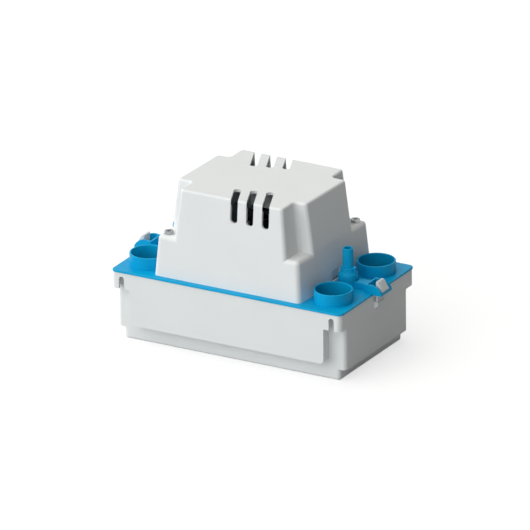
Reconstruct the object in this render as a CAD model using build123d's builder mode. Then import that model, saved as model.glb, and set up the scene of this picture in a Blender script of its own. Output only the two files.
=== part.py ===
from build123d import *
import os

os.makedirs("parts", exist_ok=True)

# ---------------------------------------------------------------- sizes, mm
# Tank
rim_length = 262.0
rim_width = 150.0
rim_corner_r = 5.0
rim_height = 17.5
tank_height = 74.5
body_end_inset = 0.8
body_side_inset = 11.5
body_corner_r = 4.5
base_end_inset = 7.5
base_height = 12.0
base_corner_r = 4.0
base_edge_r = 2.5
panel_end_inset = 20.0
panel_bottom_z = 19.5
panel_corner_r = 5.0
panel_foot_r = 3.0
tank_wall = 2.5
tank_floor = 2.5
pocket_top_skin = 2.5
keyhole_end_inset = 11.0
keyhole_width = 6.0
keyhole_top_drop = 4.5

# Snap hooks and their bosses on the tank
hook_width = 12.4
hook_wall_gap = 2.0
hook_thickness = 2.3
hook_pivot_drop = 7.05
hook_head_rise = 11.2
hook_catch_reach = 5.7
hook_catch_gap = 0.3
hook_nose_height = 1.2
boss_drop = 16.0
boss_slope_height = 3.5
boss_gap = 0.3
hook_relief_depth = 1.7
hook_relief_width = 15.0

# Deck plate
deck_overhang = 1.0
deck_thickness = 2.0
deck_corner_r = 6.0
deck_edge_r = 0.8
skirt_depth = 6.0
skirt_thickness = 1.6
skirt_gap = 0.5
inlet_end_inset = 25.5
inlet_side_inset = 31.0
inlet_outer_r = 19.8
inlet_bore_r = 18.0
inlet_height = 12.5
inlet_rim_r = 0.7
loop_half_width = 11.0
loop_side_thickness = 2.0
loop_window_reach = 6.5
loop_bar_gap = 1.5
loop_bar_width = 4.7
loop_bar_rise = 1.0
loop_bar_thickness = 2.5
loop_side_height = 8.4
loop_side_flat = 1.5
cross_wall_height = 8.0
cross_wall_thickness = 2.0
platform_half_width = 6.0
platform_height = 6.5
platform_outlet_reach = 8.0
post_r = 4.0
post_hole_r = 1.65

# Outlet adaptor
outlet_end_inset = 33.0
outlet_base_r = 11.5
outlet_base_top_r = 8.6
outlet_base_height = 14.0
outlet_stem_r = 5.5
outlet_bore_r = 3.5
outlet_height = 39.5
outlet_ring_r = 6.1
outlet_ring_height = 6.0
lug_reach_r = 9.0
lug_width = 3.0
lug_height = 6.0
spigot_r = 5.6
spigot_depth = 8.0
key_boss_r = 1.6
seal_width = 1.8
seal_height = 1.8

# Motor cover
cover_slant = 0.036
cover_end_shelf = 47.2
cover_side_shelf = 5.5
cover_draft_x = 3.2
cover_draft_y = 3.0
cover_taper_x = 7.0
cover_taper_y = 3.7
cover_shoulder_rise = 42.7
cover_height = 94.7
notch_shoulder_depth_x = 16.8
notch_shoulder_depth_y = 28.0
notch_top_depth_x = 15.1
notch_top_depth_y = 24.3
cover_corner_r = 5.0
cover_notch_r = 4.0
cover_top_edge_r = 2.5
shoulder_edge_r = 4.4
cover_wall = 2.7
cover_top_thickness = 3.0
shoulder_thickness = 3.0
vent_width = 8.2
vent_first_x = 3.6
vent_pitch = 18.0
vent_drop = 24.5
vent_skew = 0.405
vent_run_near = 28.0
vent_run_step = 4.0
window_y_low = -6.0
window_y_high = 9.0
window_z_low = 2.0
window_z_high = 13.0
plug_gap_side = 1.4
plug_gap_under = 2.0
plug_flange = 1.5
plug_flange_thickness = 1.4
plug_reach = 2.4
cover_screw_inset_x = 6.3
cover_screw_inset_y = 8.7
cover_screw_r = 1.6
cover_screw_head_r = 4.7
cover_screw_head_height = 3.0
cover_screw_length = 16.0
cover_screw_slot = 1.2

# Motor
motor_x = 19.5
stator_left_x = -2.5
stator_right_x = 61.5
stator_half_width = 22.0
stator_headroom = 3.7
stator_stack = 13.5
stator_bore_r = 13.5
leg_width = 10.5
coil_gap_width = 13.0
arm_window_half = 12.0
bobbin_wall = 1.0
coil_build = 2.4
bobbin_half_length = 11.0
shading_ring_r = 1.0
shading_ring_offset = 12.2
rotor_gap = 0.3
rotor_end_gap = 0.5
shaft_r = 2.5
shaft_bottom_z = 14.0
shaft_end_rise = 0.7
bush_r = 4.5
bush_length = 3.4
running_gap = 0.05
seat_gap = 0.02
bracket_half_width = 7.0
bracket_thickness = 1.6
upper_bracket_rise = 0.8
lower_bracket_drop = 4.0
motor_bolt_r = 1.6
motor_bolt_head_r = 3.0
motor_bolt_head_height = 0.9
motor_bolt_x_reach = 18.5
motor_bolt_y = 18.0
pedestal_plate = 3.0
pedestal_leg = 7.0
pedestal_margin = 7.0
pedestal_head_margin = 4.0
strap_foot_width = 7.0
strap_foot_r = 3.4
fan_r = 20.0
fan_hub_r = 5.0
fan_drop = 21.0
fan_blade_height = 9.0
fan_blade_thickness = 1.6
fan_blades = 6

# Pump
deck_shaft_hole_r = 5.0
column_r = 12.0
column_wall = 2.5
column_flange_r = 22.0
column_flange_thickness = 3.0
volute_r = 26.0
volute_wall = 2.5
volute_bottom_z = 9.0
volute_top_z = 26.0
nozzle_z = 17.5
nozzle_r = 7.5
nozzle_bore_r = 5.5
nozzle_reach = 6.0
riser_deck_gap = 2.5
suction_plate = 3.0
suction_eye_r = 8.0
suction_foot_height = 3.0
suction_foot_r = 2.5
impeller_r = 19.0
impeller_hub_r = 5.5
impeller_disc = 2.0
impeller_blade_height = 7.0
impeller_blade_thickness = 1.8
impeller_blades = 5
volute_screw_r = 1.3
volute_screw_pcd_r = 23.4
volute_screw_head_r = 2.4
seat_z = 38.0
seat_height = 3.0
seat_bore_r = 3.6
ball_r = 4.8
ball_rest_gap = 0.3
ball_lift = 3.0
cage_bar = 1.6

# Float and switches
float_pivot_x = -28.0
float_pivot_drop = 11.0
float_pin_r = 1.5
float_x = -80.0
float_drop = 30.5
float_r = 20.0
float_height = 20.0
float_edge_r = 3.0
float_arm_width = 7.0
float_arm_thickness = 4.0
float_hub_r = 4.0
float_pad_x = -37.0
float_pad_rise = 3.0
lug_thickness = 2.4
lug_gap = 0.3
plunger_x = -34.0
plunger_y = 3.2
plunger_r = 1.3
plunger_hole_gap = 0.35
plunger_top_rise = 5.9
switch_rise = 7.7
switch_height = 10.0
switch_length = 20.0
switch_width = 6.0
switch_spacing_gap = 0.2
switch_terminal_height = 5.0
switch_screw_r = 1.1
switch_screw_pitch = 9.5
bracket_foot = 12.0
bracket_plate = 1.5
terminal_x = -42.0
terminal_y = 38.0
terminal_length = 32.0
terminal_width = 15.0
terminal_height = 13.0
gland_x = -50.0
gland_rise = 16.0
gland_thread_r = 6.0
gland_flange_r = 8.5
gland_flange_thickness = 4.5
gland_bore_r = 3.6

# ---------------------------------------------------------------- levels
half_length = rim_length / 2
half_width = rim_width / 2
deck_z = tank_height + deck_thickness
shoulder_z = deck_z + cover_shoulder_rise
cover_top_z = deck_z + cover_height
inner_top_z = cover_top_z - cover_top_thickness
rim_bottom_z = tank_height - rim_height
stator_top_z = inner_top_z - stator_headroom
stator_bottom_z = stator_top_z - stator_stack
upper_plate_z = stator_top_z + upper_bracket_rise
lower_plate_z = stator_bottom_z - lower_bracket_drop
shaft_top_z = upper_plate_z + bracket_thickness + shaft_end_rise
fan_bottom_z = lower_plate_z - fan_drop
riser_top_z = tank_height - riser_deck_gap
float_pivot_z = tank_height - float_pivot_drop
float_z = tank_height - float_drop
plunger_top_z = deck_z + plunger_top_rise
switch_bottom_z = deck_z + switch_rise

# ---------------------------------------------------------------- places along and across
body_length = rim_length - 2 * body_end_inset
body_width = rim_width - 2 * body_side_inset
base_length = rim_length - 2 * base_end_inset
panel_length = rim_length - 2 * panel_end_inset
keyhole_x = half_length - keyhole_end_inset
keyhole_top_z = tank_height - keyhole_top_drop
hook_inner_x = half_length + hook_wall_gap
hook_outer_x = hook_inner_x + hook_thickness
hook_pivot_x = hook_inner_x + hook_thickness / 2
hook_pivot_z = tank_height - hook_pivot_drop
hook_head_top_z = deck_z + hook_head_rise
hook_catch_x = hook_outer_x + hook_catch_reach
hook_catch_z = deck_z + loop_bar_rise + hook_catch_gap
boss_bottom_z = tank_height - boss_drop
inlet_x = half_length - inlet_end_inset
inlet_y = half_width - inlet_side_inset
loop_window_inner_x = half_length - loop_window_reach
loop_bar_inner_x = hook_outer_x + loop_bar_gap
loop_bar_outer_x = loop_bar_inner_x + loop_bar_width
loop_side_start_x = loop_window_inner_x + loop_side_flat
outlet_x = half_length - outlet_end_inset
platform_start_x = outlet_x + platform_outlet_reach
cover_foot_a = half_length - cover_end_shelf
cover_foot_b = half_width - cover_side_shelf
cover_shoulder_a = cover_foot_a - cover_draft_x
cover_shoulder_b = cover_foot_b - cover_draft_y
cover_top_a = cover_shoulder_a - cover_taper_x
cover_top_b = cover_shoulder_b - cover_taper_y
notch_shoulder_x = cover_shoulder_a - notch_shoulder_depth_x
notch_shoulder_y = cover_shoulder_b - notch_shoulder_depth_y
notch_top_x = cover_top_a - notch_top_depth_x
notch_top_y = cover_top_b - notch_top_depth_y
cover_screw_x = cover_shoulder_a - cover_screw_inset_x
cover_screw_y = cover_shoulder_b - cover_screw_inset_y


def plus_points(a, b, nx, ny, s):
    """Twelve corners of the cover's plan with its four corner notches."""
    return [
        (-nx, -b),
        (nx, -b),
        (nx, -ny),
        (a - s * ny, -ny),
        (a + s * ny, ny),
        (nx, ny),
        (nx, b),
        (-nx, b),
        (-nx, ny),
        (-a + s * ny, ny),
        (-a - s * ny, -ny),
        (-nx, -ny),
    ]


def plan_points(a, b, s):
    """Four corners of the cover's slanted plan."""
    return [(-a - s * b, -b), (a - s * b, -b), (a + s * b, b), (-a + s * b, b)]


# ---------------------------------------------------------------- tank
with BuildPart() as tank_void:
    with BuildSketch(Plane.XY.offset(tank_floor)):
        RectangleRounded(base_length - 2 * tank_wall, body_width - 2 * tank_wall, base_corner_r)
    extrude(amount=base_height)
    with BuildSketch(Plane.XY.offset(base_height + tank_floor)):
        RectangleRounded(body_length - 2 * tank_wall, body_width - 2 * tank_wall, body_corner_r)
    extrude(amount=tank_height - base_height)
    with BuildSketch(Plane.XY.offset(panel_bottom_z + tank_wall)):
        Rectangle(panel_length - 2 * tank_wall, rim_width - 2 * tank_wall)
    extrude(amount=tank_height - panel_bottom_z)

with BuildPart() as tank:
    with BuildSketch(Plane.XY):
        RectangleRounded(base_length, body_width, base_corner_r)
    extrude(amount=base_height)
    fillet(tank.faces().sort_by(Axis.Z)[0].edges(), base_edge_r)
    with BuildSketch(Plane.XY.offset(base_height)):
        RectangleRounded(body_length, body_width, body_corner_r)
    extrude(amount=tank_height - base_height)
    with BuildSketch(Plane.XZ) as panel:
        with Locations((0, (panel_bottom_z + tank_height) / 2)):
            Rectangle(panel_length, tank_height - panel_bottom_z)
        fillet(panel.vertices().group_by(Axis.Z)[0], panel_corner_r)
    extrude(amount=rim_width / 2, both=True)
    with BuildSketch(Plane.XY.offset(rim_bottom_z)):
        RectangleRounded(rim_length, rim_width, rim_corner_r)
    extrude(amount=tank_height - rim_bottom_z)
    # corner pockets behind the rim, open downwards
    pocket_dx = rim_length / 2 - panel_length / 2 - 2 * tank_wall
    pocket_x = (rim_length / 2 + panel_length / 2) / 2
    pocket_dy = rim_width / 2 - tank_wall - body_width / 2
    pocket_y = body_width / 2 + pocket_dy / 2
    with BuildSketch(Plane.XY.offset(rim_bottom_z)):
        with GridLocations(2 * pocket_x, 2 * pocket_y, 2, 2):
            Rectangle(pocket_dx, pocket_dy)
    extrude(amount=tank_height - pocket_top_skin - rim_bottom_z, mode=Mode.SUBTRACT)
    # keyhole slots through the rim at the four corners
    with BuildSketch(Plane.XZ):
        with Locations((-keyhole_x, 0), (keyhole_x, 0)):
            with Locations((0, keyhole_top_z - keyhole_width / 2)):
                Circle(keyhole_width / 2)
            with Locations((0, (rim_bottom_z + keyhole_top_z) / 2 - keyhole_width / 2)):
                Rectangle(keyhole_width, keyhole_top_z - rim_bottom_z)
    extrude(amount=rim_width / 2 + 1, both=True, mode=Mode.SUBTRACT)
    add(tank_void.part, mode=Mode.SUBTRACT)
    # bosses that carry the snap hooks
    for side in (-1, 1):
        with BuildSketch(Plane.XZ):
            Polygon(
                (side * (body_length / 2 - 1), boss_bottom_z),
                (side * (rim_length / 2), boss_bottom_z),
                (side * (hook_inner_x + hook_thickness), boss_bottom_z + boss_slope_height),
                (side * (hook_inner_x + hook_thickness), hook_pivot_z - hook_thickness / 2 - boss_gap),
                (side * (body_length / 2 - 1), hook_pivot_z - hook_thickness / 2 - boss_gap),
                align=None,
            )
        extrude(amount=hook_width / 2, both=True)
        relief_z = hook_pivot_z - hook_thickness / 2 - boss_gap
        with BuildSketch(Plane.XY.offset(relief_z)):
            with Locations((side * (rim_length / 2), 0)):
                Rectangle(2 * hook_relief_depth, hook_relief_width)
        extrude(amount=tank_height - relief_z, mode=Mode.SUBTRACT)
tank.part.label = "tank"
export_step(tank.part, "parts/tank.step")

# ---------------------------------------------------------------- snap hooks
with BuildPart() as hook_right:
    with BuildSketch(Plane.XZ):
        with Locations((hook_pivot_x, hook_pivot_z)):
            Circle(hook_thickness / 2)
        Polygon(
            (hook_inner_x, hook_pivot_z),
            (hook_inner_x + hook_thickness, hook_pivot_z),
            (hook_inner_x + hook_thickness, hook_catch_z),
            (hook_catch_x, hook_catch_z),
            (hook_catch_x, hook_catch_z + hook_nose_height),
            (hook_inner_x + hook_thickness, hook_head_top_z),
            (hook_inner_x, hook_head_top_z),
            align=None,
        )
    extrude(amount=hook_width / 2, both=True)
hook_right.part.label = "hook_right"
export_step(hook_right.part, "parts/hook_right.step")

with BuildPart() as hook_left:
    add(mirror(hook_right.part, about=Plane.YZ, mode=Mode.PRIVATE))
hook_left.part.label = "hook_left"
export_step(hook_left.part, "parts/hook_left.step")

# ---------------------------------------------------------------- deck plate
with BuildPart() as deck_plate:
    with BuildSketch(Plane.XY.offset(tank_height)):
        RectangleRounded(rim_length + 2 * deck_overhang, rim_width + 2 * deck_overhang, deck_corner_r)
    extrude(amount=deck_thickness)
    fillet(deck_plate.faces().sort_by(Axis.Z)[-1].edges(), deck_edge_r)
    # locating skirt inside the tank's mouth
    skirt_y = rim_width / 2 - tank_wall - skirt_gap - skirt_thickness / 2
    skirt_x = body_length / 2 - tank_wall - skirt_gap - skirt_thickness / 2
    with BuildSketch(Plane.XY.offset(tank_height - skirt_depth)):
        with Locations((0, skirt_y), (0, -skirt_y)):
            Rectangle(panel_length - 2 * tank_wall - 4 * skirt_thickness, skirt_thickness)
        with Locations((skirt_x, 0), (-skirt_x, 0)):
            Rectangle(skirt_thickness, body_width - 2 * tank_wall - 4 * body_corner_r)
    extrude(amount=skirt_depth)
    # inlet collars
    with BuildSketch(Plane.XY.offset(tank_height)):
        with GridLocations(2 * inlet_x, 2 * inlet_y, 2, 2):
            Circle(inlet_outer_r)
    extrude(amount=deck_thickness + inlet_height)
    with BuildSketch(Plane.XY.offset(tank_height - skirt_depth)):
        with GridLocations(2 * inlet_x, 2 * inlet_y, 2, 2):
            Circle(inlet_bore_r)
    extrude(amount=skirt_depth + deck_thickness + inlet_height, mode=Mode.SUBTRACT)
    rim_z = deck_z + inlet_height
    fillet(deck_plate.edges().filter_by_position(Axis.Z, rim_z - 0.01, rim_z + 0.01), inlet_rim_r)
    # clip loops at both ends
    for side in (-1, 1):
        loop_mid = (loop_window_inner_x + loop_bar_inner_x) / 2
        window_span = loop_bar_inner_x - loop_window_inner_x
        with BuildSketch(Plane.XY.offset(tank_height)):
            with Locations((side * loop_mid, 0)):
                Rectangle(window_span, 2 * (loop_half_width - loop_side_thickness))
        extrude(amount=deck_thickness, mode=Mode.SUBTRACT)
        bar_z = deck_z + loop_bar_rise - loop_bar_thickness
        with BuildSketch(Plane.XY.offset(bar_z)):
            with Locations((side * (loop_bar_inner_x + loop_bar_outer_x) / 2, 0)):
                Rectangle(loop_bar_outer_x - loop_bar_inner_x, 2 * loop_half_width)
        extrude(amount=loop_bar_thickness)
        for end in (-1, 1):
            side_mid_y = end * (loop_half_width - loop_side_thickness / 2)
            with BuildSketch(Plane.XZ.offset(-side_mid_y)):
                with BuildLine():
                    start = (side * (loop_window_inner_x - cross_wall_thickness), deck_z - 0.5)
                    top_a = (side * (loop_window_inner_x - cross_wall_thickness), deck_z + loop_side_height)
                    top_b = (side * loop_side_start_x, deck_z + loop_side_height)
                    nose = (side * loop_bar_outer_x, deck_z + loop_bar_rise)
                    bend = (
                        side * (loop_side_start_x + 0.74 * (loop_bar_outer_x - loop_side_start_x)),
                        deck_z + loop_bar_rise + 0.68 * (loop_side_height - loop_bar_rise),
                    )
                    nose_low = (side * loop_bar_outer_x, bar_z)
                    low_b = (side * (rim_length / 2 + deck_overhang), bar_z)
                    low_a = (side * (rim_length / 2 + deck_overhang), deck_z - 0.5)
                    Line(start, top_a)
                    Line(top_a, top_b)
                    ThreePointArc(top_b, bend, nose)
                    Line(nose, nose_low)
                    Line(nose_low, low_b)
                    Line(low_b, low_a)
                    Line(low_a, start)
                make_face()
            extrude(amount=loop_side_thickness / 2, both=True)
        with BuildSketch(Plane.XY.offset(deck_z - 0.5)):
            with Locations((side * (loop_window_inner_x - cross_wall_thickness / 2), 0)):
                Rectangle(cross_wall_thickness, 2 * loop_half_width)
        extrude(amount=cross_wall_height + 0.5)
    # platform between the outlet and the cross wall
    with BuildSketch(Plane.XY.offset(deck_z - 0.5)):
        with Locations(((platform_start_x + loop_window_inner_x) / 2 - cross_wall_thickness / 2, 0)):
            Rectangle(loop_window_inner_x - cross_wall_thickness - platform_start_x, 2 * platform_half_width)
    extrude(amount=platform_height + 0.5)
    # clear the outlet adaptor's base out of the platform
    with BuildSketch(Plane.XY.offset(deck_z)):
        with Locations((outlet_x, 0)):
            Circle(outlet_base_r + seat_gap)
    extrude(amount=platform_height + 1, mode=Mode.SUBTRACT)
    # posts for the cover screws
    post_top = shoulder_z - shoulder_thickness - seat_gap
    with BuildSketch(Plane.XY.offset(deck_z - 0.5)):
        with Locations((-cover_screw_x, -cover_screw_y), (cover_screw_x, cover_screw_y)):
            Circle(post_r)
    extrude(amount=post_top - deck_z + 0.5)
    with BuildSketch(Plane.XY.offset(post_top - cover_screw_length)):
        with Locations((-cover_screw_x, -cover_screw_y), (cover_screw_x, cover_screw_y)):
            Circle(post_hole_r)
    extrude(amount=cover_screw_length, mode=Mode.SUBTRACT)
    # holes for shaft, outlet spigot and switch plungers
    with BuildSketch(Plane.XY.offset(tank_height)):
        with Locations((motor_x, 0)):
            Circle(deck_shaft_hole_r)
        with Locations((outlet_x, 0)):
            Circle(spigot_r + seat_gap)
        with Locations((plunger_x, plunger_y), (plunger_x, -plunger_y)):
            Circle(plunger_r + plunger_hole_gap)
    extrude(amount=deck_thickness, mode=Mode.SUBTRACT)
deck_plate.part.label = "deck_plate"
export_step(deck_plate.part, "parts/deck_plate.step")

# ---------------------------------------------------------------- motor cover
w = cover_wall
inner_ratio = (inner_top_z - shoulder_z) / (cover_top_z - shoulder_z)
inner_top_a = cover_shoulder_a + inner_ratio * (cover_top_a - cover_shoulder_a)
inner_top_b = cover_shoulder_b + inner_ratio * (cover_top_b - cover_shoulder_b)
inner_top_nx = notch_shoulder_x + inner_ratio * (notch_top_x - notch_shoulder_x)
inner_top_ny = notch_shoulder_y + inner_ratio * (notch_top_y - notch_shoulder_y)

with BuildPart() as cover_void:
    with BuildSketch(Plane.XY.offset(deck_z)):
        Polygon(*plan_points(cover_foot_a - w, cover_foot_b - w, cover_slant), align=None)
    with BuildSketch(Plane.XY.offset(shoulder_z - shoulder_thickness)):
        Polygon(*plan_points(cover_shoulder_a - w, cover_shoulder_b - w, cover_slant), align=None)
    loft(ruled=True)
    with BuildSketch(Plane.XY.offset(shoulder_z - shoulder_thickness - 1)):
        Polygon(
            *plus_points(
                cover_shoulder_a - w,
                cover_shoulder_b - w,
                notch_shoulder_x - w,
                notch_shoulder_y - w,
                cover_slant,
            ),
            align=None,
        )
    with BuildSketch(Plane.XY.offset(shoulder_z)):
        Polygon(
            *plus_points(
                cover_shoulder_a - w,
                cover_shoulder_b - w,
                notch_shoulder_x - w,
                notch_shoulder_y - w,
                cover_slant,
            ),
            align=None,
        )
    loft(ruled=True)
    with BuildSketch(Plane.XY.offset(shoulder_z)):
        Polygon(
            *plus_points(
                cover_shoulder_a - w,
                cover_shoulder_b - w,
                notch_shoulder_x - w,
                notch_shoulder_y - w,
                cover_slant,
            ),
            align=None,
        )
    with BuildSketch(Plane.XY.offset(inner_top_z)):
        Polygon(
            *plus_points(inner_top_a - w, inner_top_b - w, inner_top_nx - w, inner_top_ny - w, cover_slant),
            align=None,
        )
    loft(ruled=True)

with BuildPart() as motor_cover:
    # corner blocks up to the shoulder
    with BuildSketch(Plane.XY.offset(deck_z)) as foot_plan:
        Polygon(*plan_points(cover_foot_a, cover_foot_b, cover_slant), align=None)
        fillet(foot_plan.vertices(), cover_corner_r)
    with BuildSketch(Plane.XY.offset(shoulder_z)) as shoulder_plan:
        Polygon(*plan_points(cover_shoulder_a, cover_shoulder_b, cover_slant), align=None)
        fillet(shoulder_plan.vertices(), cover_corner_r)
    loft(ruled=True)
    fillet(motor_cover.faces().sort_by(Axis.Z)[-1].edges(), shoulder_edge_r)
    # cross-shaped body, straight part
    with BuildSketch(Plane.XY.offset(deck_z)) as low_plus:
        Polygon(
            *plus_points(cover_foot_a, cover_foot_b, notch_shoulder_x, notch_shoulder_y, cover_slant),
            align=None,
        )
        fillet(low_plus.vertices(), cover_notch_r)
    with BuildSketch(Plane.XY.offset(shoulder_z)) as mid_plus:
        Polygon(
            *plus_points(
                cover_shoulder_a, cover_shoulder_b, notch_shoulder_x, notch_shoulder_y, cover_slant
            ),
            align=None,
        )
        fillet(mid_plus.vertices(), cover_notch_r)
    loft(ruled=True)
    # cross-shaped body, tapered part
    with BuildSketch(Plane.XY.offset(shoulder_z)) as base_plus:
        Polygon(
            *plus_points(
                cover_shoulder_a, cover_shoulder_b, notch_shoulder_x, notch_shoulder_y, cover_slant
            ),
            align=None,
        )
        fillet(base_plus.vertices(), cover_notch_r)
    with BuildSketch(Plane.XY.offset(cover_top_z)) as top_plus:
        Polygon(
            *plus_points(cover_top_a, cover_top_b, notch_top_x, notch_top_y, cover_slant),
            align=None,
        )
        fillet(top_plus.vertices(), cover_notch_r)
    loft(ruled=True)
    fillet(motor_cover.faces().sort_by(Axis.Z)[-1].edges(), cover_top_edge_r)
    add(cover_void.part, mode=Mode.SUBTRACT)
    # vents: three over the front crease, three over the back crease
    for turn in (1, -1):
        for index in range(3):
            vent_x = vent_first_x + index * vent_pitch
            run = vent_run_near + index * vent_run_step
            end_y = -cover_top_b + run - vent_width / 2
            end_x = vent_x - vent_skew * (run - vent_width / 2)
            half = vent_width / 2
            outer_x = vent_x + vent_skew * 6
            with BuildSketch(Plane.XY.offset(inner_top_z - 4)):
                Polygon(
                    (turn * (outer_x - half), turn * (-cover_top_b - 6)),
                    (turn * (outer_x + half), turn * (-cover_top_b - 6)),
                    (turn * (end_x + half), turn * end_y),
                    (turn * (end_x - half), turn * end_y),
                    align=None,
                )
                with Locations((turn * end_x, turn * end_y)):
                    Circle(half)
            extrude(amount=cover_top_thickness + 6, mode=Mode.SUBTRACT)
            slot_low_z = cover_top_z - vent_drop + half
            with BuildSketch(Plane.XZ.offset(turn * (cover_top_b - cover_wall - 0.6))):
                with Locations((turn * vent_x, (slot_low_z + inner_top_z) / 2)):
                    Rectangle(vent_width, inner_top_z - slot_low_z)
                with Locations((turn * vent_x, slot_low_z)):
                    Circle(half)
            extrude(amount=turn * 16, mode=Mode.SUBTRACT)
    # screw holes with recessed seats in two opposite notches
    with BuildSketch(Plane.XY.offset(shoulder_z - shoulder_thickness)):
        with Locations((-cover_screw_x, -cover_screw_y), (cover_screw_x, cover_screw_y)):
            Circle(cover_screw_r + 0.2)
    extrude(amount=shoulder_thickness, mode=Mode.SUBTRACT)
    # end window behind the outlet
    with BuildSketch(Plane.XY.offset(deck_z + window_z_low)):
        with Locations((cover_foot_a, (window_y_low + window_y_high) / 2)):
            Rectangle(4 * cover_wall, window_y_high - window_y_low)
    extrude(amount=window_z_high - window_z_low, mode=Mode.SUBTRACT)
    # cable gland hole in the back
    with BuildSketch(Plane.XZ.offset(-cover_foot_b + 3 * cover_wall)):
        with Locations((gland_x, deck_z + gland_rise)):
            Circle(gland_thread_r + seat_gap)
    extrude(amount=-6 * cover_wall, mode=Mode.SUBTRACT)
motor_cover.part.label = "motor_cover"
export_step(motor_cover.part, "parts/motor_cover.step")

with BuildPart() as cover_screws:
    for turn in (1, -1):
        with BuildSketch(Plane.XY.offset(shoulder_z)):
            with Locations((-turn * cover_screw_x, -turn * cover_screw_y)):
                Circle(cover_screw_head_r)
        extrude(amount=cover_screw_head_height)
        with BuildSketch(Plane.XY.offset(shoulder_z - cover_screw_length)):
            with Locations((-turn * cover_screw_x, -turn * cover_screw_y)):
                Circle(cover_screw_r)
        extrude(amount=cover_screw_length)
        with BuildSketch(Plane.XY.offset(shoulder_z + cover_screw_head_height - 1.5)):
            with Locations((-turn * cover_screw_x, -turn * cover_screw_y)):
                Rectangle(2 * cover_screw_head_r * 0.7, cover_screw_slot)
                Rectangle(cover_screw_slot, 2 * cover_screw_head_r * 0.7)
        extrude(amount=1.5, mode=Mode.SUBTRACT)
cover_screws.part.label = "cover_screws"
export_step(cover_screws.part, "parts/cover_screws.step")

# knock-out plug standing in the end window
plug_low_y = window_y_low + plug_gap_side
plug_low_z = deck_z + window_z_low + plug_gap_under
plug_high_z = deck_z + window_z_high - seat_gap
with BuildPart() as window_plug:
    with BuildSketch(Plane.YZ.offset(cover_foot_a - cover_wall - plug_reach)):
        with Locations(((plug_low_y + window_y_high - seat_gap) / 2, (plug_low_z + plug_high_z) / 2)):
            Rectangle(window_y_high - seat_gap - plug_low_y, plug_high_z - plug_low_z)
    extrude(amount=plug_reach + cover_wall * 0.3)
    with BuildSketch(Plane.YZ.offset(cover_foot_a - cover_wall - plug_reach - plug_flange_thickness)):
        with Locations(((window_y_low + window_y_high) / 2, deck_z + (window_z_high + plug_flange) / 2)):
            Rectangle(window_y_high - window_y_low + 2 * plug_flange, window_z_high + plug_flange)
    extrude(amount=plug_flange_thickness)
window_plug.part.label = "window_plug"
export_step(window_plug.part, "parts/window_plug.step")

# ---------------------------------------------------------------- outlet adaptor
outlet_top_z = deck_z + outlet_height
ring_z = deck_z + outlet_base_height
with BuildPart() as outlet_adaptor:
    with BuildSketch(Plane.XZ):
        Polygon(
            (0, tank_height - spigot_depth),
            (spigot_r, tank_height - spigot_depth),
            (spigot_r, deck_z),
            (outlet_base_r, deck_z),
            (outlet_base_top_r, ring_z),
            (outlet_ring_r, ring_z),
            (outlet_ring_r, ring_z + outlet_ring_height),
            (outlet_stem_r, ring_z + outlet_ring_height),
            (outlet_stem_r, outlet_top_z),
            (0, outlet_top_z),
            align=None,
        )
    revolve(axis=Axis.Z)
    chamfer(outlet_adaptor.faces().sort_by(Axis.Z)[-1].edges(), 0.7)
    with BuildSketch(Plane.XY.offset(ring_z)):
        with Locations((lug_reach_r / 2, 0)):
            Rectangle(lug_reach_r, lug_width)
    extrude(amount=lug_height)
    with BuildSketch(Plane.XZ.offset(outlet_base_r - 2.5)):
        with Locations((-1.5, deck_z + 4)):
            Circle(key_boss_r)
    extrude(amount=2.6)
    with BuildSketch(Plane.XY.offset(tank_height - spigot_depth)):
        Circle(outlet_bore_r)
    extrude(amount=spigot_depth + deck_thickness + outlet_height, mode=Mode.SUBTRACT)
outlet_adaptor.part.position = (outlet_x, 0, 0)
outlet_adaptor.part.label = "outlet_adaptor"
export_step(outlet_adaptor.part, "parts/outlet_adaptor.step")

with BuildPart() as outlet_o_ring:
    with BuildSketch(Plane.XZ):
        with Locations((spigot_r + seal_width / 2 + seat_gap, tank_height - seal_height / 2)):
            Rectangle(seal_width, seal_height)
    revolve(axis=Axis.Z)
    chamfer(outlet_o_ring.edges().group_by(Axis.Z)[0], seal_width / 4)
outlet_o_ring.part.position = (outlet_x, 0, 0)
outlet_o_ring.part.label = "outlet_o_ring"
export_step(outlet_o_ring.part, "parts/outlet_o_ring.step")

# ---------------------------------------------------------------- motor
stator_mid_x = (stator_left_x + stator_right_x) / 2
stator_span = stator_right_x - stator_left_x
leg_mid_x = stator_right_x - leg_width / 2
gap_mid_x = stator_right_x - leg_width - coil_gap_width / 2
bolt_spots = [
    (motor_x - motor_bolt_x_reach, motor_bolt_y),
    (motor_x - motor_bolt_x_reach, -motor_bolt_y),
    (motor_x + motor_bolt_x_reach, motor_bolt_y),
    (motor_x + motor_bolt_x_reach, -motor_bolt_y),
]

ring_spots = [
    (motor_x - shading_ring_offset, shading_ring_offset),
    (motor_x + shading_ring_offset, -shading_ring_offset),
]

with BuildPart() as stator_core:
    with BuildSketch(Plane.XY.offset(stator_bottom_z)):
        with Locations((stator_mid_x, 0)):
            RectangleRounded(stator_span, 2 * stator_half_width, 2.0)
        with Locations((motor_x, 0)):
            Circle(stator_bore_r, mode=Mode.SUBTRACT)
        with Locations((gap_mid_x, 0)):
            Rectangle(coil_gap_width, 2 * arm_window_half, mode=Mode.SUBTRACT)
        with Locations(*bolt_spots):
            Circle(motor_bolt_r + seat_gap, mode=Mode.SUBTRACT)
        with Locations(*ring_spots):
            Circle(shading_ring_r + seat_gap, mode=Mode.SUBTRACT)
    extrude(amount=stator_stack)
stator_core.part.label = "stator_core"
export_step(stator_core.part, "parts/stator_core.step")

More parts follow.
